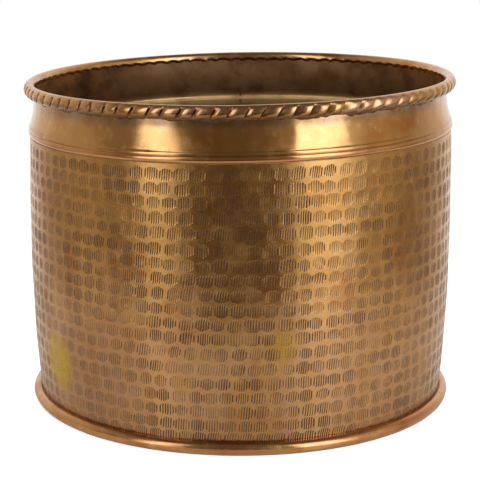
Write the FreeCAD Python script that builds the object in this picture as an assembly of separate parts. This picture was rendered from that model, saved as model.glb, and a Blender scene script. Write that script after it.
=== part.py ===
import FreeCAD, Part
import math
import os

# A large brass cachepot, soldered up from sheet and bar: a barrel-shaped wall with a half-round
# foot, a flared neck with a hollow bead, and a heavy rim notched slantwise like rope.
# Millimetres, +Z up, origin on the floor under the wall's axis. The wall's and the collar's
# seams are at the back, on +Y. The mouth leans a little, as the hand-made pot does.

# Body wall
wall_height = 190.4
wall_sheet = 0.9
wall_belly_radius = 148.3
wall_belly_share = 0.5515
wall_mouth_inset = 1.1
wall_foot_inset = 4.7
wall_ground_gap = 0.6
wall_belly_height = wall_height * wall_belly_share
wall_mouth_radius = wall_belly_radius - wall_mouth_inset
wall_foot_radius = wall_belly_radius - wall_foot_inset

# Foot moulding: a round bar, flattened against the wall and worn flat underneath
foot_bar_radius = 4.5
foot_bar_offset = 1.1
foot_worn_flat = 0.25
foot_height = 2 * foot_bar_radius - foot_worn_flat

# Floor: a shallow pan pushed up into the wall, its flange downwards behind the foot moulding
floor_drop = 2.15
floor_sheet = 1.0
base_solder_leg = 1.6
floor_height = foot_height - floor_drop

# Collar: heights are measured up from the wall's top edge, in the leaning mouth's own frame
mouth_lean_deg = 1.0
collar_sheet = 0.9
neck_straight = 7.1
flare_height = 15.6
flare_spread = 3.2
flare_foot_inset = 0.2
flare_hollow_share = 0.25
bead_swell = 1.2
bead_height = 7.2
bead_lift = 1.2
spigot_depth = 4.5
spigot_drop = 0.5
spigot_gap = 0.5
solder_film = 0.1
flare_foot_radius = wall_mouth_radius - flare_foot_inset
neck_radius = flare_foot_radius - flare_spread

# Rope rim: an oval bar with slanting notches struck round its outer face
rope_width = 7.6
rope_height = 9.2
rope_offset = 2.4
rope_radius = neck_radius + rope_offset + rope_width / 2
rope_seat_depth = 3.6
rope_seat_gap = 0.1
rim_solder_leg = 1.8
notch_count = 88
notch_depth = 0.95
notch_width = 2.7
notch_lean_deg = 31.0
notch_wander = 0.5
notch_uneven_share = 0.2

# Steps, in radians, from one notch to the next in the waves that make them uneven
notch_wander_step = 2.4
notch_uneven_step = 3.9

# The bar's outline, point by point from its underside over the outer face to the top inner edge,
# and how much of a notch's depth each point takes
rope_degrees = (-90, -60, -30, 0, 30, 60, 90, 140)
notch_shares = (0.4, 0.8, 1.0, 1.0, 1.0, 0.8, 0.3, 0.0)

# Butt seams of the wall and the collar
seam_width = 1.2

# One overrun for every cutting solid
overrun = 5.0

ORIGIN = FreeCAD.Vector(0, 0, 0)
UP = FreeCAD.Vector(0, 0, 1)
BACK = FreeCAD.Vector(0, 1, 0)


def at(radius, height):
    """A point of a section, in the plane through the axis."""
    return FreeCAD.Vector(radius, 0, height)


def line(start, end):
    return Part.LineSegment(start, end).toShape()


def arc(start, middle, end):
    return Part.Arc(start, middle, end).toShape()


def polygon(points):
    return Part.Face(Part.makePolygon(points + points[:1]))


def turned(face):
    """The solid that a section sweeps right round the axis."""
    return face.revolve(ORIGIN, UP, 360)


def turned_with_seam(face, radius):
    """An open ring swept from a section, and the braze that closes its seam at the back."""
    seam = math.degrees(seam_width / radius)
    at_seam = face.copy()
    at_seam.rotate(ORIGIN, UP, 90 - seam / 2)
    past_seam = face.copy()
    past_seam.rotate(ORIGIN, UP, 90 + seam / 2)
    return past_seam.revolve(ORIGIN, UP, 360 - seam), at_seam.revolve(ORIGIN, UP, seam)


def sheet_section(edges, thickness):
    """The section of a sheet whose outer skin runs along the edges; it thickens inwards."""
    outer = Part.Wire(edges)
    for side in (thickness, -thickness):
        outline = outer.makeOffset2D(side, 0, True, True, False).OuterWire
        if outline.BoundBox.XMax < outer.BoundBox.XMax + thickness / 2:
            fresh = [Part.Edge(e.Curve, e.FirstParameter, e.LastParameter) for e in outline.Edges]
            return Part.Face(Part.Wire(Part.sortEdges(fresh)[0]))
    raise ValueError("the sheet's section doesn't lie inside its outer skin")


def only_solid(shape):
    """The single solid that a cut must leave."""
    if len(shape.Solids) != 1:
        raise ValueError("%d solids where one is meant" % len(shape.Solids))
    return shape.Solids[0]


def lean(shape):
    """Put a solid of the mouth, modelled upright from the wall's top edge, in its leaning place."""
    turn = FreeCAD.Rotation(BACK, -mouth_lean_deg)
    place = FreeCAD.Placement(at(0, wall_height), turn)
    return shape.transformed(place.toMatrix())


def wall_point(share):
    """A point of the barrel's skin: share -1 is its straight foot's top, 0 the belly, 1 the mouth."""
    end_radius = wall_foot_radius if share < 0 else wall_mouth_radius
    end_height = foot_height if share < 0 else wall_height
    radius = wall_belly_radius + (end_radius - wall_belly_radius) * share ** 2
    return at(radius, wall_belly_height + (end_height - wall_belly_height) * abs(share))


def make_wall():
    """Barrel-shaped wall, cut off at the leaning mouth, and the braze in its seam."""
    past_mouth = 1 + overrun / (wall_height - wall_belly_height)
    skin = [
        line(at(wall_foot_radius, wall_ground_gap), wall_point(-1)),
        arc(wall_point(-1), wall_point(-0.5), wall_point(0)),
        arc(wall_point(0), wall_point(past_mouth / 2), wall_point(past_mouth)),
    ]
    section = sheet_section(skin, wall_sheet)
    over = lean(Part.makeCylinder(wall_belly_radius + overrun, wall_height, ORIGIN, UP))
    return [only_solid(piece.cut(over)) for piece in turned_with_seam(section, wall_belly_radius)]


def on_foot_bar(degrees):
    """A point round the section of the foot's bar, from its outermost point upwards."""
    angle = math.radians(degrees)
    middle = wall_foot_radius + foot_bar_offset
    level = foot_bar_radius - foot_worn_flat
    return at(middle + foot_bar_radius * math.cos(angle), level + foot_bar_radius * math.sin(angle))


def make_foot_ring():
    """Bar moulding that hugs the wall's straight foot and carries the pot on its worn underside."""
    on_wall = math.degrees(math.acos(-foot_bar_offset / foot_bar_radius))
    on_ground = -math.degrees(math.asin((foot_bar_radius - foot_worn_flat) / foot_bar_radius))
    outline = [
        arc(on_foot_bar(on_wall), on_foot_bar(on_wall / 2), on_foot_bar(0)),
        arc(on_foot_bar(0), on_foot_bar(on_ground / 2), on_foot_bar(on_ground)),
        line(on_foot_bar(on_ground), at(wall_foot_radius, 0)),
        line(at(wall_foot_radius, 0), on_foot_bar(on_wall)),
    ]
    return turned(Part.Face(Part.Wire(outline)))


def make_base_pan():
    """Sheet floor with its flange turned down against the wall's straight foot."""
    rim = wall_foot_radius - wall_sheet
    return turned(
        polygon(
            [
                at(0, floor_height),
                at(rim, floor_height),
                at(rim, wall_ground_gap),
                at(rim - floor_sheet, wall_ground_gap),
                at(rim - floor_sheet, floor_height - floor_sheet),
                at(0, floor_height - floor_sheet),
            ]
        )
    )


def make_base_solder():
    """Solder fillet in the corner of floor and wall."""
    rim = wall_foot_radius - wall_sheet
    corner = at(rim, floor_height)
    foot = at(rim - base_solder_leg, floor_height)
    return turned(polygon([corner, foot, at(rim, floor_height + base_solder_leg)]))


def collar_levels():
    """Heights of the bead's top, the flare's top and the neck's edge over the wall's edge."""
    bead_top = bead_lift + bead_height
    flare_top = bead_top + flare_height
    return bead_top, flare_top, flare_top + neck_straight


def spigot_radius():
    return wall_mouth_radius - wall_sheet - spigot_gap


def make_collar():
    """Neck, flare and hollow bead in one sheet, with a spigot that drops into the wall."""
    bead_top, flare_top, neck_top = collar_levels()
    bead_crown = at(flare_foot_radius + bead_swell, bead_lift + bead_height / 2)
    bead_foot = at(flare_foot_radius, bead_lift)
    spigot_top = at(spigot_radius(), -spigot_drop)
    skin = [
        line(at(neck_radius, neck_top), at(neck_radius, flare_top)),
        arc(
            at(neck_radius, flare_top),
            at(neck_radius + flare_spread * flare_hollow_share, flare_top - flare_height / 2),
            at(flare_foot_radius, bead_top),
        ),
        arc(at(flare_foot_radius, bead_top), bead_crown, bead_foot),
        line(bead_foot, spigot_top),
        line(spigot_top, at(spigot_radius(), -spigot_depth)),
    ]
    pieces = turned_with_seam(sheet_section(skin, collar_sheet), neck_radius)
    return [lean(piece) for piece in pieces]


def make_collar_solder():
    """Solder round the spigot and under the bead, out to the wall's edge."""
    against_wall = wall_mouth_radius - wall_sheet - solder_film
    against_spigot = spigot_radius() + solder_film
    ring = turned(
        polygon(
            [
                at(against_spigot, -spigot_depth),
                at(against_wall, -spigot_depth),
                at(against_wall, 0),
                at(wall_mouth_radius, 0),
                at(flare_foot_radius + solder_film, bead_lift),
                at(against_spigot, -spigot_drop),
            ]
        )
    )
    return lean(ring)


def oval_reach(along, across, offset):
    """How far an oval reaches along one axis, at an offset on the other."""
    return along * math.sqrt(1 - (offset / across) ** 2)


def rope_centre():
    """Middle of the rim's bar: radius, and height over the wall's edge."""
    neck_top = collar_levels()[2]
    return neck_radius + rope_offset, neck_top - rope_seat_depth + rope_height / 2


def rope_underside():
    """Where the bar's underside meets the step that seats over the neck: radius and height."""
    middle, level = rope_centre()
    seat = neck_radius + rope_seat_gap
    return seat, level - oval_reach(rope_height / 2, rope_width / 2, middle - seat)


def rope_outline(turn, depth):
    """One outline of the rim's bar, slanted like the notches, its outer face struck in by depth."""
    middle, level = rope_centre()
    points = []
    for degrees, share in zip(rope_degrees, notch_shares):
        angle = math.radians(degrees)
        width = rope_width / 2 - depth * share
        height = rope_height / 2 - depth * share
        points.append((middle + width * math.cos(angle), level + height * math.sin(angle)))
    neck_top = collar_levels()[2]
    seat, under = rope_underside()
    inner = middle - oval_reach(rope_width / 2, rope_height / 2, neck_top - level)
    points += [(inner, neck_top), (seat, neck_top), (seat, under)]
    outline = []
    for radius, height in points:
        slant = (height - level) * math.tan(math.radians(notch_lean_deg)) / rope_radius
        angle = math.radians(turn) + slant
        outline.append(FreeCAD.Vector(radius * math.cos(angle), radius * math.sin(angle), height))
    return Part.makePolygon(outline + outline[:1])


def make_rope_rim():
    """Bar seated over the neck's edge: a closed loft through struck and unstruck outlines.

    Each notch is struck by hand, so it lies a little off its even place and differs in depth."""
    pitch = 360.0 / notch_count
    half_notch = math.degrees(notch_width / 2 / rope_radius)
    outlines = []
    for index in range(notch_count):
        wander = math.degrees(notch_wander / rope_radius) * math.sin(index * notch_wander_step)
        uneven = 1 + notch_uneven_share * math.sin(index * notch_uneven_step)
        start = index * pitch + wander
        outlines.append(rope_outline(start - half_notch, 0))
        outlines.append(rope_outline(start, notch_depth * uneven))
        outlines.append(rope_outline(start + half_notch, 0))
    return lean(only_solid(Part.makeLoft(outlines, True, True, True)))


def make_rim_solder():
    """Solder drawn into the corner between the neck's outer face and the rim's underside."""
    seat, under = rope_underside()
    middle, level = rope_centre()
    fall = under - (level - rope_height / 2)
    share = rim_solder_leg / (middle - seat)
    ring = turned(
        polygon(
            [
                at(neck_radius, under - rope_seat_gap),
                at(neck_radius, under - rim_solder_leg),
                at(seat + rim_solder_leg, under - share * fall - rope_seat_gap),
            ]
        )
    )
    return lean(ring)


def main():
    os.makedirs("parts", exist_ok=True)
    wall, wall_seam = make_wall()
    collar, collar_seam = make_collar()
    pieces = {
        "hammered_wall": wall,
        "wall_seam_braze": wall_seam,
        "foot_ring": make_foot_ring(),
        "base_pan": make_base_pan(),
        "base_solder": make_base_solder(),
        "collar": collar,
        "collar_seam_braze": collar_seam,
        "collar_solder": make_collar_solder(),
        "rope_rim": make_rope_rim(),
        "rim_solder": make_rim_solder(),
    }
    for node, shape in pieces.items():
        box = shape.optimalBoundingBox()
        facts = (node, shape.isValid(), shape.Volume, box.ZMin, box.ZMax)
        print("%-18s valid %s, %.0f mm3, z %.2f to %.2f" % facts)
        shape.exportStep("parts/%s.step" % node)


main()
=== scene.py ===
import cmath
import math

import bpy
import numpy as np
from mathutils import Matrix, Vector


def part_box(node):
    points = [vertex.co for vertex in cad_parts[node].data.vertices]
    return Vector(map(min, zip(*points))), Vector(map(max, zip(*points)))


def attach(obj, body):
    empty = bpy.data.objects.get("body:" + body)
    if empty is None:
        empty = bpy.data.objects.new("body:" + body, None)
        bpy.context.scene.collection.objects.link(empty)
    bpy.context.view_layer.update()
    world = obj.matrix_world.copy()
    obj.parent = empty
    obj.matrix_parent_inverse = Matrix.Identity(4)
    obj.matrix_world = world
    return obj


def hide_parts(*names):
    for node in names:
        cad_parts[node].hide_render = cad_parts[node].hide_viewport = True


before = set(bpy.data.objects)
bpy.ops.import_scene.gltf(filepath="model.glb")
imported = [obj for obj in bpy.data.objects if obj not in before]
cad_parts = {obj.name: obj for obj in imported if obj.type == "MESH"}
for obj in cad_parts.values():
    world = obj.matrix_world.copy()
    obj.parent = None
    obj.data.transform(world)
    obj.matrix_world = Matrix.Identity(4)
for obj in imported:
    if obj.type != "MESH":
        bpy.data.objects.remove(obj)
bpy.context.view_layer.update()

bl_info = {
    "name": "Brass Cachepot",
    "version": (1, 0, 0),
    "blender": (4, 5, 0),
    "location": "3D View > Sidebar > Cachepot",
    "description": "Dresses a round brass cachepot: punched wall, beaded collar, notched rim",
    "category": "Object",
}

MM = 0.001
TURN = 2 * math.pi
BODY = "root"

# Boxes of the solids, at rest, that the visible pieces stand for
WALL_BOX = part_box("hammered_wall")
FOOT_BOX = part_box("foot_ring")
PAN_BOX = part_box("base_pan")


def colour(text):
    """Linear RGBA of an sRGB hex colour."""
    parts = [int(text[i:i + 2], 16) / 255 for i in (1, 3, 5)]
    linear = [p / 12.92 if p <= 0.04045 else ((p + 0.055) / 1.055) ** 2.4 for p in parts]
    return (*linear, 1.0)


def length(name, description, millimetres):
    """A size that a user may change, kept in metres."""
    return bpy.props.FloatProperty(
        name=name, description=description, default=millimetres * MM, precision=5, unit="LENGTH"
    )


def slope(name, description, degrees):
    """An angle that a user may change."""
    return bpy.props.FloatProperty(
        name=name, description=description, default=math.radians(degrees), precision=4,
        unit="ROTATION",
    )


def amount(name, description, number):
    """A count that a user may change."""
    return bpy.props.IntProperty(name=name, description=description, default=number, min=12)


def tint(name, description, text):
    """A colour that a user may change."""
    return bpy.props.FloatVectorProperty(
        name=name, description=description, default=colour(text), size=4, min=0, max=1,
        subtype="COLOR",
    )


class CachepotWallSizes(bpy.types.PropertyGroup):
    """Sizes of the barrel wall and of the punch marks in it."""

    belly_radius: length("Belly Radius", "Greatest radius of the wall", WALL_BOX[1].y / MM)
    height: length("Height", "Height of the wall's top edge on the axis", 190.4)
    belly_height: length("Belly Height", "Height at which the wall is widest", 105.0)
    mouth_inset: length("Mouth Inset", "How much narrower the wall is at its mouth", 1.1)
    foot_inset: length("Foot Inset", "How much narrower the wall is at its foot", 4.7)
    sheet: length("Sheet", "Thickness of the brass sheet", 0.9)
    ground_gap: length("Ground Gap", "Gap between the wall's lower edge and the ground", 0.6)
    mark_width: length("Mark Width", "Width of one punch mark", 9.5)
    mark_height: length("Mark Height", "Height of one punch mark", 9.0)
    groove_depth: length("Groove Depth", "Depth of the grooves in a punch mark", 0.17)
    marks_per_row: amount("Marks per Row", "Punch marks in one row round the wall", 88)


class CachepotMouthSizes(bpy.types.PropertyGroup):
    """Sizes of the collar, its bead and the notched rim, up from the wall's top edge."""

    lean: slope("Lean", "How far the mouth leans, its right side higher", 1.0)
    flare_foot_radius: length("Flare Foot Radius", "Radius where the flare meets the bead", 147.0)
    neck_radius: length("Neck Radius", "Outer radius of the straight neck", 143.8)
    bead_lift: length("Bead Lift", "Height of the bead's lower edge", 0.4)
    bead_height: length("Bead Height", "Height of the hollow bead", 7.0)
    bead_swell: length("Bead Swell", "How far the bead stands out", 1.2)
    flare_height: length("Flare Height", "Height of the concave flare", 16.6)
    neck_straight: length("Neck Straight", "Height of the neck above the flare", 7.1)
    spigot_depth: length("Spigot Depth", "How far the collar reaches down into the wall", 4.5)
    sheet: length("Sheet", "Thickness of the brass sheet", 0.9)
    rim_radius: length("Rim Radius", "Outer radius of the rim", 150.0)
    rim_width: length("Rim Width", "Radial width of the rim's bar", 7.6)
    rim_height: length("Rim Height", "Height of the rim's bar", 9.2)
    rim_seat: length("Rim Seat", "How far the rim's bar drops over the neck", 3.6)
    notch_width: length("Notch Width", "Width of a notch in the rim", 4.2)
    notch_depth: length("Notch Depth", "Depth of a notch in the rim", 1.25)
    notch_lean: slope("Notch Lean", "How far the notches lean from upright", 31)
    notch_count: amount("Notches", "Notches struck round the rim", 88)


class CachepotBaseSizes(bpy.types.PropertyGroup):
    """Sizes of the foot moulding and of the floor."""

    foot_reach: length("Foot Reach", "Outer radius of the foot moulding", FOOT_BOX[1].y / MM)
    foot_bar: length("Foot Bar", "Radius of the bar that the foot is bent from", 4.5)
    foot_worn: length("Foot Worn", "How much the foot has worn flat underneath", 0.25)
    floor_height: length("Floor Height", "Height of the floor's upper face", PAN_BOX[1].z / MM)
    floor_sheet: length("Floor Sheet", "Thickness of the floor", 1.0)


class CachepotColours(bpy.types.PropertyGroup):
    """Colours of the brass, its patina and the solder."""

    # Inside the bead this colour is also laid as a painted highlight
    golden: tint("Golden Brass", "Brass where it is rubbed bright", "#E5BD7A")
    brown: tint("Brown Brass", "Brass under its brown patina", "#C5945A")
    olive: tint("Olive Brass", "Brass where the patina is greenish", "#BE8D4E")
    # On the collar this colour is also laid along the bead's lower crest as a painted reflection
    copper: tint("Copper Bloom", "Brass that has lost zinc and looks like copper", "#C98C5C")
    # Low on the wall this tone is partly patina, partly a painted reflection of the pale floor
    dusky: tint("Dusky Patina", "Patina with a pinkish cast, low on the body", "#C5966C")
    amber: tint("Amber Tarnish", "Patches of brass gone dark amber", "#AA6A32")
    # Dirt and tarnish in hollows, and also laid as painted shade in creases, notches and under the
    # rim's bar
    crevice_dirt_and_shade: tint("Crevice", "Dirt and tarnish in hollows", "#4E2F17")
    worn: tint("Worn Patch", "Mauve brown where the surface is worn thin", "#946A50")
    # Laid in the punch marks as dirt and painted shade both
    groove_dirt_and_shade: tint("Grime", "Old polish and dirt in the punch marks", "#56361B")
    inner: tint("Inner Patina", "Brown oxide on faces that nobody polishes", "#A5713F")
    stain: tint("Polish Stain", "Yellow-green stain of dried polish", "#BE980A")
    solder: tint("Solder", "Dull tin solder", "#86705A")
    dust: tint("Dust", "Dust and lime dried on the inside", "#A37C52")
    tin_haze: tint("Tin Haze", "Thin film of tin that ran out from under the rim", "#C9AE93")
    lime: tint("Lime", "Specks of lime left by hard water", "#D8D4CC")


# Meshes

# Steps round the axis of the large rings, and of the floor
AROUND = 480
FLOOR_AROUND = 240
SAME_PLACE = 0.002 * MM
# Greatest phase that a wave is drawn with
ANY_PHASE = 6.283


def deselect():
    bpy.ops.object.select_all(action="DESELECT")


def added(name):
    """The object that was just added, under its name."""
    piece = bpy.context.object
    piece.name = name
    return piece


def pick(piece):
    """Select one piece alone and make it the active one."""
    deselect()
    piece.select_set(True)
    bpy.context.view_layer.objects.active = piece


def edit(piece):
    """Go into edit mode on one piece alone, with all of it selected."""
    pick(piece)
    bpy.ops.object.mode_set(mode="EDIT")
    bpy.ops.mesh.select_mode(type="VERT")
    bpy.ops.mesh.select_all(action="SELECT")


def close_up(merge=0.0):
    """Merge vertices within a distance, turn all faces outwards and leave edit mode."""
    bpy.ops.mesh.select_all(action="SELECT")
    if merge:
        bpy.ops.mesh.remove_doubles(threshold=merge)
    bpy.ops.mesh.normals_make_consistent(inside=False)
    bpy.ops.object.mode_set(mode="OBJECT")


def polar(piece):
    """A piece's vertices as an array of places, and the radius, angle and height of each."""
    flat = np.zeros(len(piece.data.vertices) * 3, np.float32)
    piece.data.vertices.foreach_get("co", flat)
    points = flat.reshape(-1, 3).astype(float)
    x, y, z = points.T
    return points, np.hypot(x, y), np.arctan2(y, x), z


def place(piece, points):
    piece.data.vertices.foreach_set("co", np.asarray(points, np.float32).ravel())
    piece.data.update()


def keep_values(piece, **values):
    """Store named numbers for each vertex, for the material to read."""
    for name, numbers in values.items():
        layer = piece.data.attributes.new(name, "FLOAT", "POINT")
        layer.data.foreach_set("value", np.asarray(numbers, np.float32).ravel())


def grid_piece(name, points):
    """A grid whose vertices are moved to these places, given line by line."""
    lines, columns = points.shape[:2]
    deselect()
    bpy.ops.mesh.primitive_grid_add(x_subdivisions=columns - 1, y_subdivisions=lines - 1, size=1)
    piece = added(name)
    place(piece, points)
    return piece


def turned_piece(name, section, steps, closed):
    """A ring drawn out level by level along a section of (radius, height), as on a lathe."""
    deselect()
    radius, height = section[0]
    bpy.ops.mesh.primitive_circle_add(vertices=steps, radius=radius, location=(0, 0, height))
    piece = added(name)
    edit(piece)
    for next_radius, next_height in section[1:]:
        rise = (0, 0, next_height - height)
        bpy.ops.mesh.extrude_region_move(TRANSFORM_OT_translate={"value": rise})
        share = next_radius / radius
        bpy.ops.transform.resize(value=(share, share, 1), center_override=(0, 0, next_height))
        radius, height = next_radius, next_height
    close_up(10 * SAME_PLACE if closed else 0)
    bpy.ops.object.transform_apply(location=True, rotation=True, scale=True)
    return piece


def rolled_sheet(name, points, values):
    """A flat grid rolled up round the axis and round its own section, and closed both ways.

    points has one line of places for each level of the section, and values one number each."""

    def closed(grid):
        grid = np.concatenate([grid, grid[:1]])
        return np.concatenate([grid, grid[:, :1]], 1)

    piece = grid_piece(name, closed(points))
    keep_values(piece, **{title: closed(numbers) for title, numbers in values.items()})
    edit(piece)
    close_up(SAME_PLACE)
    return piece


def on_circle(middle, radius, turns):
    """Points of a section at these angles on a circle."""
    across, up = middle
    return [(across + radius * math.cos(t), up + radius * math.sin(t)) for t in turns]


def wrapped(angle):
    """An angle brought between half a turn back and half a turn on."""
    return (angle + math.pi) % TURN - math.pi


def arc_section(start, middle, end, count):
    """Points on the circle through three points, with the second one halfway."""
    a, b, c = (complex(*point) for point in (start, middle, end))
    ratio = (c - a) / (b - a)
    centre = a + (b - a) * (ratio - abs(ratio) ** 2) / (2j * ratio.imag)
    first = cmath.phase(a - centre)
    half = wrapped(cmath.phase(b - centre) - first)
    turns = np.linspace(first, first + 2 * half, count)
    return on_circle((centre.real, centre.imag), abs(a - centre), turns)


def hump(values, middle, reach, power=2):
    """1 at the middle and less with distance from it; power 4 has a flat top."""
    return np.exp(-((values - middle) / reach) ** power)


def waves(angle, height, seed, terms):
    """Smooth hand-made unevenness from -1 to 1 that closes on itself round the axis.

    Each term is (waves round the pot, waves per metre of height, share)."""
    draw = np.random.default_rng(seed)
    total = np.zeros(np.broadcast(angle, height).shape)
    parts = 3
    for around, up, share in terms:
        for _ in range(parts):
            turns = int(draw.integers(max(1, int(around * 0.6)), int(around * 1.4) + 2))
            rise = draw.uniform(-up, up) * TURN
            wave = np.sin(turns * angle + rise * height + draw.uniform(0, ANY_PHASE))
            total = total + share * wave / parts
    return total


def lean_mouth(piece, scene):
    """Put a piece that was modelled up from the wall's top edge in its leaning place."""
    up = Matrix.Translation((0, 0, scene.cachepot_wall.height))
    piece.data.transform(up @ Matrix.Rotation(-scene.cachepot_mouth.lean, 4, "Y"))
    piece.data.update()


def finish_piece(piece, material, nodes, angle_deg):
    """Shade a piece, give it its finish, and let it stand for its solid."""
    pick(piece)
    bpy.ops.object.shade_smooth_by_angle(angle=math.radians(angle_deg))
    piece.data.materials.clear()
    piece.data.materials.append(material)
    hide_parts(*nodes)
    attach(piece, BODY)


# Materials

# Spots on the pot: middle and reach in millimetres, and how much each axis is squeezed
WORN_PATCH = (-96, -106, 48), 56, (1, 1, 0.9)
LEFT_STAIN = (-124, -79, 42), 23, (1, 1, 0.85)
FRONT_STAIN = (28, -145, 74), 11, (1, 1, 0.8)
LAMP_SOOT = (-92, -110, 222), 38, (1, 1, 2.2)
DUST_BLOOM = (20, 145, 210), 155, (1, 0.6, 1.3)


class Nodes:
    """The node tree of a material or a world, with short ways to add to it."""

    def __init__(self, owner):
        owner.use_nodes = True
        self.tree = owner.node_tree
        self.tree.nodes.clear()

    def wire(self, value, socket):
        """Set an input to a value, or link it if the value is another node's output."""
        if isinstance(value, bpy.types.NodeSocket):
            self.tree.links.new(value, socket)
        else:
            socket.default_value = value

    def add(self, kind, sockets=(), **settings):
        """A new node with its settings and its sockets, which are (input, value)."""
        node = self.tree.nodes.new(kind)
        for name, value in settings.items():
            setattr(node, name, value)
        for socket, value in sockets:
            self.wire(value, node.inputs[socket])
        return node

    def times(self, *values):
        return self.add("ShaderNodeMath", enumerate(values), operation="MULTIPLY").outputs[0]

    def most(self, *values):
        return self.add("ShaderNodeMath", enumerate(values), operation="MAXIMUM").outputs[0]

    def far(self, place):
        """How far a place is from the origin."""
        return self.add("ShaderNodeVectorMath", [(0, place)], operation="LENGTH").outputs["Value"]

    def mixed(self, share, first, second):
        """One colour laid over another by a share from 0 to 1."""
        sockets = [(0, share), (6, first), (7, second)]
        return self.add("ShaderNodeMix", sockets, data_type="RGBA").outputs[2]

    def ranged(self, value, window, levels=(0.0, 1.0)):
        """A value's way through a window, carried to other levels with soft ends."""
        sockets = [("Value", value), ("From Min", window[0]), ("From Max", window[1])]
        sockets += [("To Min", levels[0]), ("To Max", levels[1])]
        return self.add(
            "ShaderNodeMapRange", sockets, interpolation_type="SMOOTHSTEP"
        ).outputs[0]

    def ray_kinds(self):
        """Whether a ray comes straight from the camera, and whether from a mirroring face."""
        path = self.add("ShaderNodeLightPath").outputs
        straight = self.most(path["Is Camera Ray"], path["Is Transmission Ray"])
        return straight, path["Is Glossy Ray"]


class Finish(Nodes):
    """A material in the making: colours are laid on one by one, and then it is polished."""

    def __init__(self, name):
        self.material = bpy.data.materials.new(name)
        super().__init__(self.material)
        self.shader = self.add("ShaderNodeBsdfPrincipled")
        self.output = self.add("ShaderNodeOutputMaterial", [("Surface", self.shader.outputs[0])])
        self.here = self.add("ShaderNodeTexCoord").outputs["Object"]
        self.tone = None

    def kept(self, name):
        """A number that the mesh keeps for each vertex."""
        return self.add("ShaderNodeAttribute", attribute_name=name).outputs["Fac"]

    def noise(self, size_mm, detail, roughness):
        """Noise whose blotches are about size_mm across."""
        sockets = [("Vector", self.here), ("Scale", 1 / (size_mm * MM))]
        sockets += [("Detail", detail), ("Roughness", roughness)]
        return self.add("ShaderNodeTexNoise", sockets).outputs["Fac"]

    def clouds(self, noise, window, levels=(0.0, 1.0)):
        """Patches where noise of (size in mm, detail, roughness) rises through a window."""
        return self.ranged(self.noise(*noise), window, levels)

    def between_heights(self, start_mm, end_mm, share):
        """A share that grows from nothing at one height to all of itself at another."""
        height = self.add("ShaderNodeSeparateXYZ", [(0, self.here)]).outputs["Z"]
        return self.ranged(height, (start_mm * MM, end_mm * MM), (0.0, share))

    def spot(self, middle_mm, reach_mm, squeeze):
        """A soft blot with a ragged edge round one place, 1 in its middle."""
        place = self.here
        shift = tuple(c * MM for c in middle_mm)
        for operation, values in (("SUBTRACT", shift), ("MULTIPLY", squeeze)):
            sockets = [(0, place), (1, values)]
            place = self.add("ShaderNodeVectorMath", sockets, operation=operation).outputs[0]
        sockets = [(0, self.noise(9, 3, 0.6)), (1, 0.6), (2, 0.7)]
        edge = self.add("ShaderNodeMath", sockets, operation="MULTIPLY_ADD").outputs[0]
        ragged = self.times(self.far(place), edge)
        return self.ranged(ragged, (reach_mm * MM, 0.35 * reach_mm * MM))

    def lay(self, colour, where, strength=None):
        """Lay a colour over the tone, by a share from 0 to 1 that a strength may lessen."""
        share = where if strength is None else self.times(where, strength)
        self.tone = self.mixed(share, self.tone, colour)

    def patina(self, first, second, bright, tarnish=None):
        """Two patina tones in drifts about 45 mm across, rubbed bright in spots of some 8 mm.

        tarnish is a darker tone that lies in patches of about 30 mm."""
        self.tone = self.mixed(self.clouds((45, 4, 0.55), (0.38, 0.62)), first, second)
        if tarnish is not None:
            self.lay(tarnish, self.clouds((30, 3, 0.5), (0.5, 0.68), (0.0, 0.6)))
        self.lay(bright, self.clouds((8, 5, 0.65), (0.5, 0.78), (0.0, 0.55)))

    def oxide(self, colours):
        """Brown oxide in clouds about 25 mm across, with dust and lime over it at the back."""
        clouds = self.clouds((25, 6, 0.65), (0.38, 0.66), (0.3, 0.95))
        tone = self.mixed(clouds, colours.inner, colours.crevice_dirt_and_shade)
        drifts = self.clouds((18, 5, 0.6), (0.38, 0.6), (0.3, 1.0))
        return self.mixed(self.times(self.spot(*DUST_BLOOM), drifts), tone, colours.dust)

    def polished(self, rough, bump_mm, covered=None):
        """The material as old metal: patches duller than others, and fine unevenness.

        rough is the least and the greatest roughness. covered is the share of the metal under
        oxide, dirt or dried polish, which is matt."""
        inputs = self.shader.inputs
        inputs["Metallic"].default_value = 1.0
        roughness = self.clouds((16, 6, 0.62), (0.35, 0.68), rough)
        if covered is not None:
            self.wire(self.ranged(covered, (0.0, 1.0), (1.0, 0.4)), inputs["Metallic"])
            roughness = self.most(roughness, self.times(covered, 0.45))
        sockets = [("Height", self.noise(2.4, 4, 0.6)), ("Distance", bump_mm * MM)]
        bump = self.add("ShaderNodeBump", sockets + [("Strength", 0.6)])
        self.wire(self.tone, inputs["Base Color"])
        self.wire(roughness, inputs["Roughness"])
        self.wire(bump.outputs[0], inputs["Normal"])
        return self.material


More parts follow.
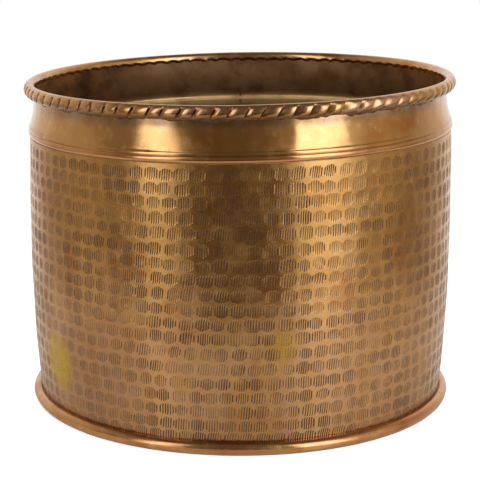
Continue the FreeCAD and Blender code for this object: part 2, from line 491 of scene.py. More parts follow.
def punched_brass(colours):
    """Rolled brass sheet, struck all over with a fluted punch and left to tarnish.

    It has gone olive above and pinkish below, the pinkish partly a painted reflection of the pale
    floor, and its grooves are darkened by dirt and painted shade."""
    brass = Finish("punched_sheet_brass")
    brass.patina(colours.brown, colours.olive, colours.golden, colours.amber)
    brass.lay(colours.olive, brass.between_heights(90, 165, 0.5))
    thin = brass.clouds((17, 5, 0.62), (0.36, 0.62), (0.3, 1.0))
    # Pinkish more towards the bottom: partly patina, partly a painted reflection of the pale floor
    brass.lay(colours.dusky, brass.between_heights(150, 40, 0.8), thin)
    # Low on the left the sheet is worn, so that it is browner and its marks are fainter
    worn = brass.spot(*WORN_PATCH)
    brass.lay(colours.worn, worn, 0.4)
    left_in = brass.clouds((24, 4, 0.6), (0.36, 0.6), (0.45, 1.0))
    left_in = brass.times(left_in, brass.ranged(worn, (0.0, 1.0), (1.0, 0.65)))
    # Darker down in the punch grooves and on the marks' outlines: partly old dirt, partly painted
    # shade that stands in for the grooves' own shading
    dirt_and_shade = brass.times(brass.ranged(brass.kept("struck"), (0.4, 0.55)), left_in)
    brass.lay(colours.groove_dirt_and_shade, dirt_and_shade)
    inside = brass.kept("inside")
    brass.lay(brass.oxide(colours), inside)
    left = brass.spot(*LEFT_STAIN)
    brass.lay(colours.stain, left, 0.95)
    brass.lay(colours.stain, brass.spot(*FRONT_STAIN), 0.33)
    covered = brass.most(inside, brass.times(left, 0.55))
    return brass.polished((0.2, 0.33), 0.05, brass.most(covered, brass.times(dirt_and_shade, 0.78)))


def collar_brass(colours):
    """Sheet brass raised over a stake and polished long ago: smooth, clouded with solder fume, with
    painted shade, reflection and highlight round the bead.
    """
    brass = Finish("polished_collar_brass")
    brass.patina(colours.brown, colours.olive, colours.golden, colours.amber)
    # Painted reflection: a copper band along the bead's lower crest, where the dark floor mirrors
    # in it
    brass.lay(colours.copper, brass.kept("bloom"), 0.6)
    # Painted shade in the creases at the bead's top, its waist and its lower edge
    brass.lay(colours.crevice_dirt_and_shade, brass.kept("groove"), 0.45)
    # Under the rim lie fume, tin that ran out and, on the left, soot of the soldering lamp
    near_rim = brass.kept("near_rim")
    fumed = brass.times(brass.clouds((11, 5, 0.7), (0.4, 0.72), (0.3, 1.0)), near_rim)
    brass.lay(colours.crevice_dirt_and_shade, fumed, 0.6)
    brass.lay(colours.tin_haze, brass.clouds((14, 4, 0.6), (0.36, 0.62), (0.15, 0.75)), near_rim)
    brass.lay(colours.crevice_dirt_and_shade, brass.spot(*LAMP_SOOT), 0.5)
    inside = brass.kept("inside")
    brass.lay(brass.oxide(colours), inside)
    # Painted highlight: golden in patches on the inside of the bead's lower half, which faces up
    rubbed = brass.clouds((20, 4, 0.6), (0.3, 0.6), (0.5, 1.0))
    ledge = brass.times(brass.kept("ledge"), rubbed)
    brass.lay(colours.golden, ledge)
    return brass.polished((0.07, 0.2), 0.02, brass.most(brass.times(inside, 0.7), ledge))


def rim_brass(colours):
    """Brass bar notched with a chisel: worn bright along the ridges, with painted shade down in the
    cuts and on the bar's lower outer face.
    """
    brass = Finish("chased_rim_brass")
    brass.patina(colours.brown, colours.dusky, colours.golden, colours.amber)
    # Painted shade: darker on the bar's lower outer face and at the bottoms of the notches
    brass.lay(colours.crevice_dirt_and_shade, brass.kept("dirt_and_shade"), 0.7)
    brass.lay(colours.crevice_dirt_and_shade, brass.kept("cut"), 0.62)
    inside = brass.kept("inside")
    brass.lay(colours.inner, inside)
    return brass.polished((0.16, 0.3), 0.04, inside)


def foot_brass(colours):
    """Brass bar soldered on hot: copper coloured where the zinc burned off, limed in its corner."""
    brass = Finish("moulded_foot_brass")
    brass.patina(colours.brown, colours.copper, colours.golden, colours.amber)
    groove = brass.kept("groove")
    # Painted shade in the corner where the foot meets the wall; the lime specks in it are deposits
    brass.lay(colours.crevice_dirt_and_shade, groove, 0.8)
    specks = brass.times(brass.clouds((3, 3, 0.5), (0.66, 0.7), (0.0, 0.9)), groove)
    brass.lay(colours.lime, specks)
    return brass.polished((0.13, 0.28), 0.04, specks)


def floor_brass(colours):
    """Sheet brass that nobody polishes: dull, brown and marked by damp."""
    brass = Finish("dull_floor_brass")
    brass.patina(colours.inner, colours.amber, colours.brown)
    brass.lay(brass.oxide(colours), 0.55)
    return brass.polished((0.38, 0.6), 0.12)


def braze_metal(colours):
    """Spelter run into a seam and filed back: pinker than the sheet and a little pitted."""
    braze = Finish("filed_braze")
    braze.patina(colours.copper, colours.brown, colours.golden)
    inside = braze.kept("inside")
    braze.lay(braze.oxide(colours), inside)
    return braze.polished((0.28, 0.45), 0.12, braze.times(inside, 0.7))


def tin_solder(name, clean, dirt_colour, dirtiest):
    """Soft tin solder, run by hand and never cleaned: lumpy, dull and brown with dirt."""
    solder = Finish(name)
    dirt = solder.clouds((5, 4, 0.6), (0.35, 0.65), (0.5 * dirtiest, dirtiest))
    solder.tone = solder.mixed(dirt, clean, dirt_colour)
    return solder.polished((0.38, 0.6), 0.2, dirt)


# The punched wall

# Heights of the middles of the punched rows, as they stand on the wall's front, in millimetres
ROW_HEIGHTS = (
    183.4, 174.0, 165.3, 155.4, 145.7, 135.2, 125.5, 116.0, 106.2, 96.5,
    86.9, 77.7, 67.8, 57.7, 47.9, 38.4, 28.6, 19.0, 10.6,
)
# Lines of the grid through a row, as shares of the marks' reach; the outer two are outlines
MARK_LINES = (-1, -0.66, 0.66, 1)
GROOVES = 6
ACROSS = 2 * GROOVES + 1
INNER_LINES = 5
MARK_GAP = 0.5 * MM
ROW_GAP = 0.2 * MM
FOOT_MARGIN = 2 * MM
MOUTH_MARGIN = 1.6 * MM
MOUTH_LINE = 1.2 * MM
FOOT_TOP = 8.75 * MM
MARK_SEED = 1722
# Greatest shift of a row against the one below, as a share of a mark
ROW_SHIFT = 0.22
# How much narrower the marks are at the pot's sides than in front and at the back
SIDE_NARROWING = 0.22
# How dark a mark's outline is made, as dirt and painted shade; a groove's darkening goes by its
# depth
OUTLINE = 0.42


def wall_radius(sizes, height):
    """Radius of the barrel at a height, the same curve as in the solids."""
    up = (height - sizes.belly_height) / (sizes.height - sizes.belly_height)
    down = ((sizes.belly_height - height) / (sizes.belly_height - FOOT_TOP)).clip(0, 1)
    above = sizes.belly_radius - sizes.mouth_inset * up.clip(0, None) ** 2
    return np.where(up > 0, above, sizes.belly_radius - sizes.foot_inset * down ** 2)


def mark_columns(sizes, phase, draw):
    """For one row of marks: each column's angle, reach, height offset, depth, slant and whether
    it is a sharp line, as the outlines and the bottoms of the grooves are."""
    count = sizes.marks_per_row
    pitch = TURN / count
    per_metre = 1 / sizes.belly_radius
    middle = (np.arange(count) + 0.5 + phase) * pitch
    middle = middle + draw.uniform(-0.8, 0.8, count) * MM * per_metre
    half = sizes.mark_width / 2 * draw.uniform(0.88, 1.13, count) * per_metre
    half *= 1 - SIDE_NARROWING * np.sin(middle) ** 2
    apart = (np.roll(middle, -1) - middle) % TURN
    crowd = half + np.roll(half, -1) + MARK_GAP * per_metre
    tight = (crowd > apart) * (crowd - apart) / 2
    half = half - np.maximum(tight, np.roll(tight, 1))
    tall = sizes.mark_height / 2 * draw.uniform(0.86, 1.06, count)
    lift = draw.uniform(-0.4, 0.4, count) * MM
    strength = draw.uniform(0.8, 1.15, count)
    bluff = draw.uniform(2.0, 3.4, count)
    tilt = 0.07 + 0.06 * np.sin(2 * middle + draw.uniform(0, ANY_PHASE))
    tilt = tilt + draw.normal(0, 0.02, count)
    none = 0 * middle
    columns = np.zeros((6, count, ACROSS))
    for column in range(ACROSS):
        share = column / GROOVES - 1
        outline, groove = abs(share) == 1, column % 2 == 1
        oval = np.maximum(0.6, (1 - abs(share) ** bluff) ** (1 / bluff))
        rise = tall * oval * draw.uniform(0.9, 1.06, count)
        depth = none
        if not outline:
            deep = 1 - 0.5 * share ** 4 if groove else 0.05 * (1 - share ** 2)
            depth = strength * deep * draw.uniform(0.85, 1.1, count)
        sharp = none + (outline or groove)
        columns[:, :, column] = middle + half * share, rise, lift, depth, tilt, sharp
    return columns.reshape(6, -1)


def punched_surface(sizes):
    """Lines of points up the outside, over the mouth, down the inside and under the foot.

    Each is (angle, height, radius or None for the barrel's, depth, inside, lean, sharp)."""
    draw = np.random.default_rng(MARK_SEED)
    heights = np.array(ROW_HEIGHTS[::-1]) * MM
    reach = np.diff(heights) / 2 - ROW_GAP
    below = np.concatenate([[heights[0] - sizes.ground_gap - FOOT_MARGIN], reach])
    above = np.concatenate([reach, [sizes.height - MOUTH_MARGIN - heights[-1]]])
    phase, rows = 0.0, []
    for _ in heights:
        phase += draw.uniform(-ROW_SHIFT, ROW_SHIFT)
        rows.append(mark_columns(sizes, phase, draw))
    first, last = rows[0][0], rows[-1][0]
    none = 0 * first
    foot_radius = sizes.belly_radius - sizes.foot_inset
    lines = [(first, none + sizes.ground_gap, foot_radius, none, none, 0.0, none)]
    for row, height, down, up in zip(rows, heights, below, above):
        angle, rise, level, depth, slant, sharp = row
        for side in MARK_LINES:
            outline = abs(side) == 1
            offset = (level + side * rise).clip(-down * abs(side), up * abs(side))
            swing = angle + slant * offset / sizes.belly_radius
            sunk = none if outline else depth * sizes.groove_depth
            line = np.maximum(sharp, outline)
            lines.append((swing, height + offset, None, sunk, none, 1.0, line))
    for height in (sizes.height - MOUTH_LINE, sizes.height):
        lines.append((last, none + height, None, none, none, 1.0, none))
    for share in np.linspace(0, 1, INNER_LINES):
        angle = last + (first - last) * share
        height = none + sizes.height + (sizes.ground_gap - sizes.height) * share
        lines.append((angle, height, None, none, none + 1, 1.0, none))
    return lines


def keep_sharp(piece, name):
    """Mark the edges between vertices that hold 1 sharp, so the rest between looks rounded."""
    values = np.zeros(len(piece.data.vertices), np.float32)
    piece.data.attributes[name].data.foreach_get("value", values)
    ends = np.zeros(len(piece.data.edges) * 2, np.int32)
    piece.data.edges.foreach_get("vertices", ends)
    layer = piece.data.attributes.new("sharp_edge", "BOOLEAN", "EDGE")
    layer.data.foreach_set("value", (values[ends.reshape(-1, 2)] > 0.5).all(1))
    piece.data.attributes.remove(piece.data.attributes[name])


class CACHEPOT_OT_punched_wall(bpy.types.Operator):
    """Roll a flat sheet into the barrel wall with every punch mark in it"""

    bl_idname = "cachepot.punched_wall"
    bl_label = "Punched Wall"

    def execute(self, context):
        wall, lean = context.scene.cachepot_wall, math.tan(context.scene.cachepot_mouth.lean)
        rows = []
        for angle, height, radius, sunk, inside, follow, sharp in punched_surface(wall):
            out = wall_radius(wall, height) if radius is None else radius
            out = out - sunk - inside * wall.sheet
            turn = angle + math.pi / 2
            upper = (height - wall.belly_height) / (wall.height - wall.belly_height)
            height = height + follow * lean * out * np.cos(turn) * upper.clip(0, 1) ** 1.5
            struck = np.maximum(sunk / wall.groove_depth, OUTLINE * sharp)
            rows.append([out * np.cos(turn), out * np.sin(turn), height, struck, inside, sharp])
        x, y, z, *values = np.array(rows).transpose(1, 0, 2)
        sway = waves(np.arctan2(y, x), z, 5, ((5, 8, 0.6), (14, 22, 0.4)))
        swell = 1 + 0.35 * MM * sway / wall.belly_radius
        values = dict(zip(("struck", "inside", "creased"), values))
        piece = rolled_sheet("punched_wall", np.stack([x * swell, y * swell, z], -1), values)
        keep_sharp(piece, "creased")
        brass = punched_brass(context.scene.cachepot_colours)
        finish_piece(piece, brass, ["hammered_wall"], 60)
        return {"FINISHED"}


# The collar

# Places up the bead, as shares of its height and of its swell
LOW_CREST = (0.3, 1.0)
WAIST = (0.6, 0.42)
HIGH_CREST = (0.83, 0.5)
SPIGOT_INSET = 1.2 * MM
SPIGOT_TOP = -0.5 * MM


def bead_place(mouth, shares):
    """Radius and height of a place on the bead's outer skin."""
    up, out = shares
    radius = mouth.flare_foot_radius + out * mouth.bead_swell
    return radius, mouth.bead_lift + up * mouth.bead_height


def collar_tops(mouth):
    """Heights of the tops of the bead, the flare and the neck."""
    bead_top = mouth.bead_lift + mouth.bead_height
    flare_top = bead_top + mouth.flare_height
    return bead_top, flare_top, flare_top + mouth.neck_straight


def collar_section(mouth):
    """Outer skin of the collar from the spigot's lower end up to the neck's edge."""
    bead_top, flare_top, _ = collar_tops(mouth)
    foot, neck = mouth.flare_foot_radius, mouth.neck_radius
    spigot = foot - SPIGOT_INSET
    section = [(spigot, -mouth.spigot_depth), (spigot, SPIGOT_TOP)]
    low, waist, high = (bead_place(mouth, shares) for shares in (LOW_CREST, WAIST, HIGH_CREST))
    section += arc_section((foot, mouth.bead_lift), low, waist, 10)
    section += arc_section(waist, high, (foot, bead_top), 10)[1:]
    hollow = (neck + 0.25 * (foot - neck), flare_top - mouth.flare_height / 2)
    section += arc_section((foot, bead_top), hollow, (neck, flare_top), 15)[1:]
    return section + [(neck, flare_top + mouth.neck_straight * n / 4) for n in range(1, 5)]


def inner_face(section, sheet, out, up):
    """Whether places lie on the inner face of a sheet turned to this section."""
    return out < np.interp(up, [p[1] for p in section], [p[0] for p in section]) - sheet / 2


class CACHEPOT_OT_collar(bpy.types.Operator):
    """Draw out the collar: spigot, hollow bead, flare and neck in one sheet"""

    bl_idname = "cachepot.collar"
    bl_label = "Collar"

    def execute(self, context):
        mouth = context.scene.cachepot_mouth
        section = collar_section(mouth)
        piece = turned_piece("flared_collar", section, AROUND, False)
        solid = piece.modifiers.new("sheet", "SOLIDIFY")
        solid.thickness = mouth.sheet
        solid.offset = -1
        bpy.ops.object.modifier_apply(modifier=solid.name)
        points, out, angle, up = polar(piece)
        # The bead's waist is rolled in from outside and doesn't show on the inner face
        (low_out, low_up), (high_out, high_up) = (
            bead_place(mouth, shares) for shares in (LOW_CREST, HIGH_CREST)
        )
        hull = np.interp(up, (low_up, high_up), (low_out, high_out))
        hollow = inner_face(section, mouth.sheet, out, up) & (up > low_up) & (up < high_up)
        out = np.where(hollow, np.maximum(out, hull - mouth.sheet), out)
        out = out + 0.22 * MM * waves(angle, up, 11, ((6, 6, 0.5), (19, 20, 0.3), (46, 60, 0.2)))
        points[:, 0], points[:, 1] = out * np.cos(angle), out * np.sin(angle)
        place(piece, points)
        bead_top, _, neck_top = collar_tops(mouth)
        # Creases round the bead, darkened in the material as painted shade
        creases = ((bead_top, 0.35), (bead_place(mouth, WAIST)[1], 0.25), (mouth.bead_lift, 1.0))
        groove = sum(share * hump(up, crease, 0.6 * MM) for crease, share in creases)
        inside = inner_face(section, mouth.sheet, out, up)
        # Inside, the bead's lower half faces up; the golden laid there in patches is a painted
        # highlight, where it catches light from above
        ledge = inside * hump(up, mouth.bead_lift + 1.2 * MM, 2.2 * MM, 4)
        near_rim = (up - neck_top + 12 * MM) / (8 * MM)
        # The bead's lower crest gets a painted reflection band, its creases painted shade, and the
        # inside of its lower half a painted highlight
        keep_values(
            piece, bloom=hump(up, low_up, 1.8 * MM), groove=groove.clip(0, 1),
            near_rim=near_rim.clip(0, 1), inside=inside, ledge=ledge,
        )
        lean_mouth(piece, context.scene)
        brass = collar_brass(context.scene.cachepot_colours)
        finish_piece(piece, brass, ["collar"], 35)
        return {"FINISHED"}


# The rim

# Columns of the grid over one notch: share of the notch's half width, and of its depth
NOTCH_COLUMNS = ((-1, 0), (-0.62, 1), (0.1, 0.5), (0.8, 0.06))
LAND_COLUMNS = 8
NOTCH_SEED = 88
RIM_ACROSS = len(NOTCH_COLUMNS) + LAND_COLUMNS
RIM_ROUND = 28
LAND_SWELL = 0.25 * MM
SCALLOP = 0.5 * MM
# Where the notches are struck hardest, where the bar's lower outer face gets painted shade, and
# where nobody polishes it
ROPE_SIDE = math.radians(290)
PAINTED_SHADE_SIDE = math.radians(318)
HIDDEN_SIDE = math.radians(235)


def rim_columns(mouth):
    """Each column of the rim's grid: angle, slant, how deep and dark the cut is, and the swell
    of the land between the cuts."""
    draw = np.random.default_rng(NOTCH_SEED)
    count = mouth.notch_count
    pitch = TURN / count
    per_metre = 1 / mouth.rim_radius
    middle = (np.arange(count) + 0.5) * pitch + draw.uniform(-0.9, 0.9, count) * MM * per_metre
    # Struck harder and wider on the front's right, where the photographed rim looks like rope
    rope = hump(wrapped(middle - ROPE_SIDE), 0, 0.33)
    half = mouth.notch_width / 2 * draw.uniform(0.75, 1.15, count) * (1 + 0.55 * rope) * per_metre
    deep = mouth.notch_depth * draw.uniform(0.8, 1.1, count) * (1 + 0.25 * rope)
    lean = np.tan(mouth.notch_lean + draw.normal(0, 0.07, count))
    after = np.roll(middle, -1)
    after[-1] += TURN
    land_width = after - np.roll(half, -1) - middle - half
    twist = np.roll(lean, -1) - lean
    none = 0 * middle
    columns = []
    for share, sunk in NOTCH_COLUMNS:
        # Only the bottom of a cut is darkened, as painted shade down in the notch
        dark = none + max(0, 2 * sunk - 1)
        columns.append((middle + half * share, lean, sunk * deep, dark, none))
    for share in np.arange(LAND_COLUMNS) / LAND_COLUMNS:
        land = none + LAND_SWELL * math.sin(math.pi * share)
        around = middle + half + land_width * share
        columns.append((around, lean + twist * share, none, none, land))
    return np.array(columns).transpose(1, 2, 0).reshape(5, -1)


class CACHEPOT_OT_notched_rim(bpy.types.Operator):
    """Bend the rim's bar and strike its slanting notches one by one"""

    bl_idname = "cachepot.notched_rim"
    bl_label = "Notched Rim"

    def execute(self, context):
        mouth = context.scene.cachepot_mouth
        turn, slant, cut, dark, land = rim_columns(mouth)
        level = collar_tops(mouth)[2] - mouth.rim_seat + mouth.rim_height / 2
        round_bar = np.arange(RIM_ROUND) * TURN / RIM_ROUND
        struck_face = hump(wrapped(round_bar), 0.06, 0.78, 4)
        # On the inner face the bar is scalloped low down, as the far rim shows
        nick = SCALLOP * np.cos(math.pi * np.arange(RIM_ACROSS) / RIM_ACROSS) ** 2
        nicked = np.outer(np.tile(nick, mouth.notch_count), hump(round_bar, math.pi + 0.5, 0.6, 4))
        width = mouth.rim_width / 2 - np.outer(cut - land, struck_face) - nicked
        height = mouth.rim_height / 2 - np.outer(cut, struck_face) * 0.9
        up = height * np.sin(round_bar)
        around = turn[:, None] + slant[:, None] * up / mouth.rim_radius
        out = mouth.rim_radius - mouth.rim_width / 2 + width * np.cos(round_bar)
        wobble = 0.2 * MM * waves(around, 0 * up, 21, ((7, 0, 0.6), (23, 0, 0.4)))
        out = out * (1 + wobble / mouth.rim_radius)
        points = np.stack([out * np.cos(around), out * np.sin(around), level + up], -1)
        everywhere = np.ones(len(turn))
        values = {
            "cut": np.outer(dark, struck_face).T,
            "dirt_and_shade": np.outer(everywhere, hump(round_bar, PAINTED_SHADE_SIDE, 0.5)).T,
            "inside": np.outer(everywhere, hump(round_bar, HIDDEN_SIDE, 0.6, 4)).T,
        }
        piece = rolled_sheet("rope_rim_bar", points.transpose(1, 0, 2), values)
        lean_mouth(piece, context.scene)
        brass = rim_brass(context.scene.cachepot_colours)
        finish_piece(piece, brass, ["rope_rim"], 26)
        return {"FINISHED"}


# The foot and the floor

FOOT_POINTS = 21
FLOOR_CORNER = 1.2 * MM
# Rings of the floor's two faces, as shares of its radius
UPPER_RINGS = (0.94, 0.88, 0.8, 0.7, 0.6, 0.5, 0.4, 0.3, 0.2, 0.1, 0.03)
LOWER_RINGS = (0.03, 0.2, 0.4, 0.6, 0.8, 0.94)
# Rings so small that each is merged into one point on the axis
POINT = 0.004 * MM


class CACHEPOT_OT_foot(bpy.types.Operator):
    """Turn the half-round foot moulding, worn flat where it stands"""

    bl_idname = "cachepot.foot"
    bl_label = "Foot Moulding"

    def execute(self, context):
        base, wall = context.scene.cachepot_base, context.scene.cachepot_wall
        middle = base.foot_reach - base.foot_bar
        level = base.foot_bar - base.foot_worn
        wall_foot = wall.belly_radius - wall.foot_inset
        top = math.acos((wall_foot - middle) / base.foot_bar)
        bottom = -math.asin(level / base.foot_bar)
        turns = np.linspace(bottom, top, FOOT_POINTS)
        section = on_circle((middle, level), base.foot_bar, turns)
        crown = section[-1][1]
        section += [(wall_foot, crown * share) for share in (0.66, 0.33, 0.0)]
        piece = turned_piece("foot_moulding", section + section[:1], AROUND, True)
        points, out, angle, up = polar(piece)
        # The corner between foot and wall, darkened in the material as painted shade and specked
        # with lime
        keep_values(piece, groove=hump(out, wall_foot, 1.1 * MM) * (up > level))
        swell = 0.16 * MM * waves(angle, 0 * up, 31, ((9, 0, 0.5), (31, 0, 0.5)))
        swell *= ((out - wall_foot) / (2 * MM)).clip(0, 1) * (up > 0.05 * MM)
        points[:, 0] += swell * np.cos(angle)
        points[:, 1] += swell * np.sin(angle)
        place(piece, points)
        brass = foot_brass(context.scene.cachepot_colours)
        finish_piece(piece, brass, ["foot_ring"], 35)
        return {"FINISHED"}


class CACHEPOT_OT_floor_pan(bpy.types.Operator):
    """Turn the sheet floor with its flange, hammered a little uneven"""

    bl_idname = "cachepot.floor_pan"
    bl_label = "Floor Pan"

    def execute(self, context):
        base, wall = context.scene.cachepot_base, context.scene.cachepot_wall
        rim = wall.belly_radius - wall.foot_inset - wall.sheet
        top, gap, sheet = base.floor_height, wall.ground_gap, base.floor_sheet
        section = [(rim - sheet, gap), (rim, gap), (rim, top - FLOOR_CORNER)]
        corner = (rim - FLOOR_CORNER, top - FLOOR_CORNER)
        section += on_circle(corner, FLOOR_CORNER, np.linspace(0, math.pi / 2, 5)[1:])
        section += [(rim * share, top) for share in UPPER_RINGS]
        section += [(POINT, top), (POINT, top - sheet)]
        section += [(rim * share, top - sheet) for share in LOWER_RINGS]
        section += [(rim - sheet, top - sheet), (rim - sheet, gap)]
        piece = turned_piece("floor_pan", section, FLOOR_AROUND, True)
        edit(piece)
        bpy.ops.mesh.delete_loose(use_verts=True, use_edges=True, use_faces=False)
        bpy.ops.object.mode_set(mode="OBJECT")
        points, out, _, up = polar(piece)
        loose = (1 - (out / (rim * 0.95)) ** 4).clip(0, 1)
        sag = waves(points[:, 0] * 30, points[:, 1], 41, ((1, 3, 0.6), (2, 9, 0.4)))
        up += loose * (0.35 * MM * sag - 0.2 * MM)
        place(piece, points)
        brass = floor_brass(context.scene.cachepot_colours)
        finish_piece(piece, brass, ["base_pan"], 35)
        return {"FINISHED"}


# Solder and braze

OVERLAP = 0.1 * MM
RIM_RUN_LEG = (1.9 * MM, -2.0 * MM)
RIM_RUN_LIFT = 0.9 * MM
RIM_RUN_STEPS = 528
FLOOR_RUN_LEG = (-2.2 * MM, 2.2 * MM)
FLOOR_RUN_STEPS = 360
LUMPS = ((12, 0, 0.4), (40, 0, 0.35), (110, 0, 0.25))
# Columns round a strip of braze: share of its half width, how proud it stands outside, whether
# it is on the inner face, and whether it is sunk there
STRIP_COLUMNS = (
    (1, -0.02, 0, 0), (0.6, 1, 0, 0), (-0.6, 1, 0, 0), (-1, -0.02, 0, 0), (-1, 0, 1, 0),
    (-0.6, 0, 1, 1), (0.6, 0, 1, 1), (1, 0, 1, 0), (1, -0.02, 0, 0),
)
STRIP_HALF_WIDTH = 0.9 * MM
STRIP_PROUD = 0.14 * MM
STRIP_SUNK = 0.3 * STRIP_PROUD
STRIP_THICKNESS = 0.9 * MM
WALL_SEAM_LINES = 90


def solder_run(name, corner, leg, lumpiness, seed, steps):
    """A lumpy fillet in a corner: corner (radius, height), leg (radial, vertical)."""
    (radius, height), (radial, vertical) = corner, leg
    section = [
        (radius + radial * math.cos(turn) ** 1.6, height + vertical * math.sin(turn) ** 1.6)
        for turn in np.linspace(0, math.pi / 2, 9)
    ]
    piece = turned_piece(name, section + [corner, section[0]], steps, True)
    points, out, angle, up = polar(piece)
    size = 1 + lumpiness * waves(angle, 0 * angle, seed, LUMPS)
    out = radius + (out - radius) * size
    points[:, 2] = height + (up - height) * size
    points[:, 0], points[:, 1] = out * np.cos(angle), out * np.sin(angle)
    place(piece, points)
    return piece


class CACHEPOT_OT_solder(bpy.types.Operator):
    """Run the solder under the rim, round the floor and inside the bead"""

    bl_idname = "cachepot.solder"
    bl_label = "Solder"

    def execute(self, context):
        base, wall = context.scene.cachepot_base, context.scene.cachepot_wall
        mouth, colours = context.scene.cachepot_mouth, context.scene.cachepot_colours
        metal = tin_solder("tin_solder", colours.solder, colours.crevice_dirt_and_shade, 1.0)
        under = collar_tops(mouth)[2] - mouth.rim_seat + RIM_RUN_LIFT
        corner = (mouth.neck_radius - OVERLAP, under)
        rim_run = solder_run("rim_solder_run", corner, RIM_RUN_LEG, 1.2, 51, RIM_RUN_STEPS)
        lean_mouth(rim_run, context.scene)
        finish_piece(rim_run, metal, ["rim_solder"], 40)
        inner = wall.belly_radius - wall.foot_inset - wall.sheet
        corner = (inner + OVERLAP, base.floor_height - OVERLAP)
        floor_run = solder_run(
            "floor_solder_run", corner, FLOOR_RUN_LEG, 0.84, 52, FLOOR_RUN_STEPS
        )
        finish_piece(floor_run, metal, ["base_solder"], 40)
        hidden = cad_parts["collar_solder"]
        hidden.data.materials.clear()
        tarnished = tin_solder("tarnished_solder", colours.brown, colours.crevice_dirt_and_shade, 0.5)
        hidden.data.materials.append(tarnished)
        return {"FINISHED"}


def braze_strip(name, section, seed):
    """A filed strip of braze standing a hair proud of a seam on +Y, outside and in.

    section is the sheet's outer skin as (radius, height), low to high."""
    draw = np.random.default_rng(seed)
    edge = STRIP_HALF_WIDTH * (1 + draw.uniform(-0.25, 0.25, (2, len(section))))
    across, lift, inner, sunk = np.array(STRIP_COLUMNS).T
    rows = []
    for line, (radius, height) in enumerate(section):
        reach = np.where(across > 0, edge[0, line], edge[1, line])
        out = radius + STRIP_PROUD * lift - inner * STRIP_THICKNESS - sunk * STRIP_SUNK
        rows.append(np.stack([across * reach, out, height + 0 * across], 1))
    piece = grid_piece(name, np.array(rows))
    keep_values(piece, inside=np.tile(inner, len(rows)))
    edit(piece)
    bpy.ops.mesh.remove_doubles(threshold=SAME_PLACE)
    bpy.ops.mesh.select_all(action="DESELECT")
    bpy.ops.mesh.select_non_manifold()
    bpy.ops.mesh.edge_face_add()
    close_up()
    return piece


class CACHEPOT_OT_brazed_seams(bpy.types.Operator):
    """File the brazed seams of the wall and of the collar at the back"""

    bl_idname = "cachepot.brazed_seams"
    bl_label = "Brazed Seams"

    def execute(self, context):
        wall, metal = context.scene.cachepot_wall, braze_metal(context.scene.cachepot_colours)
        heights = np.linspace(wall.ground_gap, wall.height, WALL_SEAM_LINES)
        section = list(zip(wall_radius(wall, heights), heights))
        seam = braze_strip("wall_seam_fill", section, 61)
        finish_piece(seam, metal, ["wall_seam_braze"], 30)
        section = collar_section(context.scene.cachepot_mouth)
        seam = braze_strip("collar_seam_fill", section, 62)
        lean_mouth(seam, context.scene)
        finish_piece(seam, metal, ["collar_seam_braze"], 30)
        return {"FINISHED"}


# The stage

# Light that the room sends from each direction round the pot: degrees from the camera's side,
# to the right, and strength. Two upright soft boxes stand in front, and the rest is pale walls.
# The second table is for directions below the horizon, where the boxes' feet are dimmer.
ROOM_HIGH = (
    (-180, 0.85), (-150, 0.8), (-132, 0.88), (-115, 0.68), (-93, 0.56), (-84, 0.52),
    (-80, 0.36), (-64, 0.3), (-56, 0.34), (-54, 2.2), (-46, 2.6), (-40, 2.0), (-35, 1.2),
    (-32, 0.3), (-21, 0.2), (0, 0.17), (14, 0.22), (29, 0.42), (32, 2.8), (56, 2.7),
    (60, 0.95), (72, 0.65), (83, 0.7), (94, 0.58), (106, 0.5), (119, 0.62), (133, 0.8),
    (150, 1.0), (180, 0.85),
)
ROOM_LOW = (
    (-180, 1.0), (-150, 0.95), (-132, 0.64), (-115, 0.43), (-93, 0.56), (-83, 0.6),
    (-74, 0.44), (-64, 0.24), (-56, 0.36), (-50, 0.85), (-38, 1.05), (-33, 0.2), (-21, 0.11),
    (0, 0.11), (11, 0.12), (22, 0.18), (30, 0.28), (33, 1.25), (47, 1.35), (56, 1.15),
    (62, 0.55), (83, 0.6), (94, 0.42), (106, 0.3), (119, 0.45), (133, 0.75), (150, 1.0),
    (180, 1.0),
)
BRIGHTEST = 3.0
CEILING = 0.15
FLOOR_RADIUS = 0.62
CAMERA_PLACE = (-0.00034, -1.1241, 0.3673)
CAMERA_DOWN = math.radians(12.95)
LENS_MM = 120.8


def room_level(world, share, table):
    """The room's light at one level, as a share of BRIGHTEST; its dim parts are warmer."""
    ramp = world.add("ShaderNodeValToRGB", [("Fac", share)])
    stops = ramp.color_ramp.elements
    while len(stops) < len(table):
        stops.new(1.0)
    for stop, (degrees, strength) in zip(stops, table):
        stop.position = (degrees + 180) / 360
        lit = min(1, strength)
        over = max(0, strength - 1)
        tinted = (1, 0.77 + 0.23 * lit + 0.06 * over, 0.62 + 0.4 * lit + 0.2 * over)
        stop.color = [strength * part / BRIGHTEST for part in tinted] + [1]
    return ramp.outputs[0]


def grey(level):
    return (level, level, level, 1)


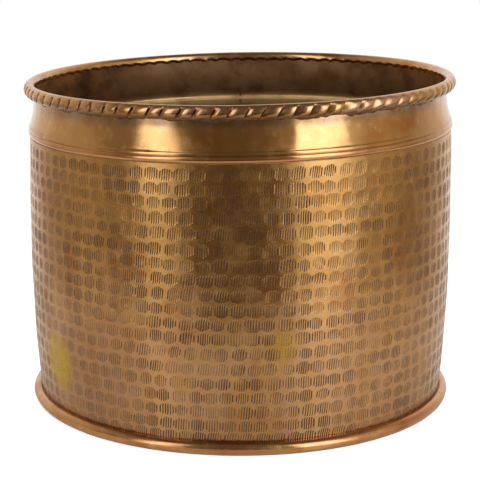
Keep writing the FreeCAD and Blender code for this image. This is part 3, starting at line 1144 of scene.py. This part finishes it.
def studio_world():
    """A white background and a plain soft studio: dim on the camera's side, between two soft
    boxes."""
    studio = bpy.data.worlds.new("studio")
    bpy.context.scene.world = studio
    world = Nodes(studio)
    ahead = world.add("ShaderNodeTexCoord").outputs["Generated"]
    x, y, z = world.add("ShaderNodeSeparateXYZ", [(0, ahead)]).outputs
    sockets = [(0, x), (1, world.times(y, -1.0))]
    angle = world.add("ShaderNodeMath", sockets, operation="ARCTAN2").outputs[0]
    sockets = [("Value", angle), ("From Min", -math.pi), ("From Max", math.pi)]
    share = world.add("ShaderNodeMapRange", sockets).outputs[0]
    low, high = (room_level(world, share, table) for table in (ROOM_LOW, ROOM_HIGH))
    walls = world.mixed(world.ranged(z, (-0.2, -0.03)), low, high)
    room = world.mixed(world.ranged(z, (0.55, 0.92)), walls, grey(CEILING / BRIGHTEST))
    straight, mirrored = world.ray_kinds()
    behind = world.times(mirrored, world.ranged(y, (0.7, 0.85)))
    light = world.mixed(world.most(straight, behind), room, grey(1 / BRIGHTEST))
    back = world.add("ShaderNodeBackground", [("Color", light), ("Strength", BRIGHTEST)])
    world.add("ShaderNodeOutputWorld", [("Surface", back.outputs[0])])


def pale_floor():
    """A pale matt floor that glows a little, fades out with distance and hardly mirrors."""
    pale = Finish("pale_floor")
    pale.shader.inputs["Base Color"].default_value = colour("#E8E6E2")
    pale.shader.inputs["Roughness"].default_value = 0.8
    straight, mirrored = pale.ray_kinds()
    sockets = [(0, pale.times(straight, 0.75)), (1, pale.times(mirrored, 0.05))]
    glow = pale.add("ShaderNodeMath", sockets).outputs[0]
    light = pale.add("ShaderNodeEmission", [("Color", grey(1)), ("Strength", glow)])
    sockets = [(0, pale.shader.outputs[0]), (1, light.outputs[0])]
    lit = pale.add("ShaderNodeAddShader", sockets).outputs[0]
    clear = pale.add("ShaderNodeBsdfTransparent").outputs[0]
    fade = pale.ranged(pale.far(pale.here), (0.3, 0.6))
    thin = pale.most(fade, pale.times(mirrored, 0.25))
    both = pale.add("ShaderNodeMixShader", [(0, thin), (1, lit), (2, clear)])
    pale.wire(both.outputs[0], pale.output.inputs["Surface"])
    return pale.material


class CACHEPOT_OT_stage(bpy.types.Operator):
    """Lay the pale floor, light the room and set the camera at the photograph's angle"""

    bl_idname = "cachepot.stage"
    bl_label = "Stage"

    def execute(self, context):
        deselect()
        bpy.ops.mesh.primitive_circle_add(vertices=128, radius=FLOOR_RADIUS, fill_type="NGON")
        floor = added("studio_floor")
        floor.data.materials.append(pale_floor())
        studio_world()
        bpy.ops.object.light_add(type="AREA", location=(0, -0.2, 1.6))
        lamp = added("overhead_softbox")
        lamp.data.shape = "DISK"
        lamp.data.size = 1.4
        lamp.data.energy = 16
        lamp.visible_glossy = False
        level = math.radians(90)
        bpy.ops.object.camera_add(location=CAMERA_PLACE, rotation=(level - CAMERA_DOWN, 0, 0))
        camera = added("photo_camera")
        camera.data.lens = LENS_MM
        camera.data.sensor_width = 36
        camera.data.clip_start, camera.data.clip_end = 0.05, 50
        context.scene.camera = camera
        context.scene.view_settings.view_transform = "Standard"
        return {"FINISHED"}


PIECES = (
    CACHEPOT_OT_punched_wall, CACHEPOT_OT_collar, CACHEPOT_OT_notched_rim, CACHEPOT_OT_foot,
    CACHEPOT_OT_floor_pan, CACHEPOT_OT_solder, CACHEPOT_OT_brazed_seams, CACHEPOT_OT_stage,
)


class CACHEPOT_PT_build(bpy.types.Panel):
    """Pieces of the cachepot, in the order they are made"""

    bl_idname = "CACHEPOT_PT_build"
    bl_label = "Cachepot"
    bl_space_type = "VIEW_3D"
    bl_region_type = "UI"
    bl_category = "Cachepot"

    def draw(self, context):
        for piece in PIECES:
            self.layout.operator(piece.bl_idname)


GROUPS = {
    "cachepot_wall": CachepotWallSizes,
    "cachepot_mouth": CachepotMouthSizes,
    "cachepot_base": CachepotBaseSizes,
    "cachepot_colours": CachepotColours,
}


def register():
    for group in (*GROUPS.values(), *PIECES, CACHEPOT_PT_build):
        bpy.utils.register_class(group)
    for name, group in GROUPS.items():
        setattr(bpy.types.Scene, name, bpy.props.PointerProperty(type=group))


def unregister():
    for name in GROUPS:
        delattr(bpy.types.Scene, name)
    for group in (CACHEPOT_PT_build, *PIECES, *GROUPS.values()):
        bpy.utils.unregister_class(group)


def main():
    register()
    bpy.ops.cachepot.punched_wall()
    bpy.ops.cachepot.collar()
    bpy.ops.cachepot.notched_rim()
    bpy.ops.cachepot.foot()
    bpy.ops.cachepot.floor_pan()
    bpy.ops.cachepot.solder()
    bpy.ops.cachepot.brazed_seams()
    bpy.ops.cachepot.stage()


if __name__ == "__main__":
    main()
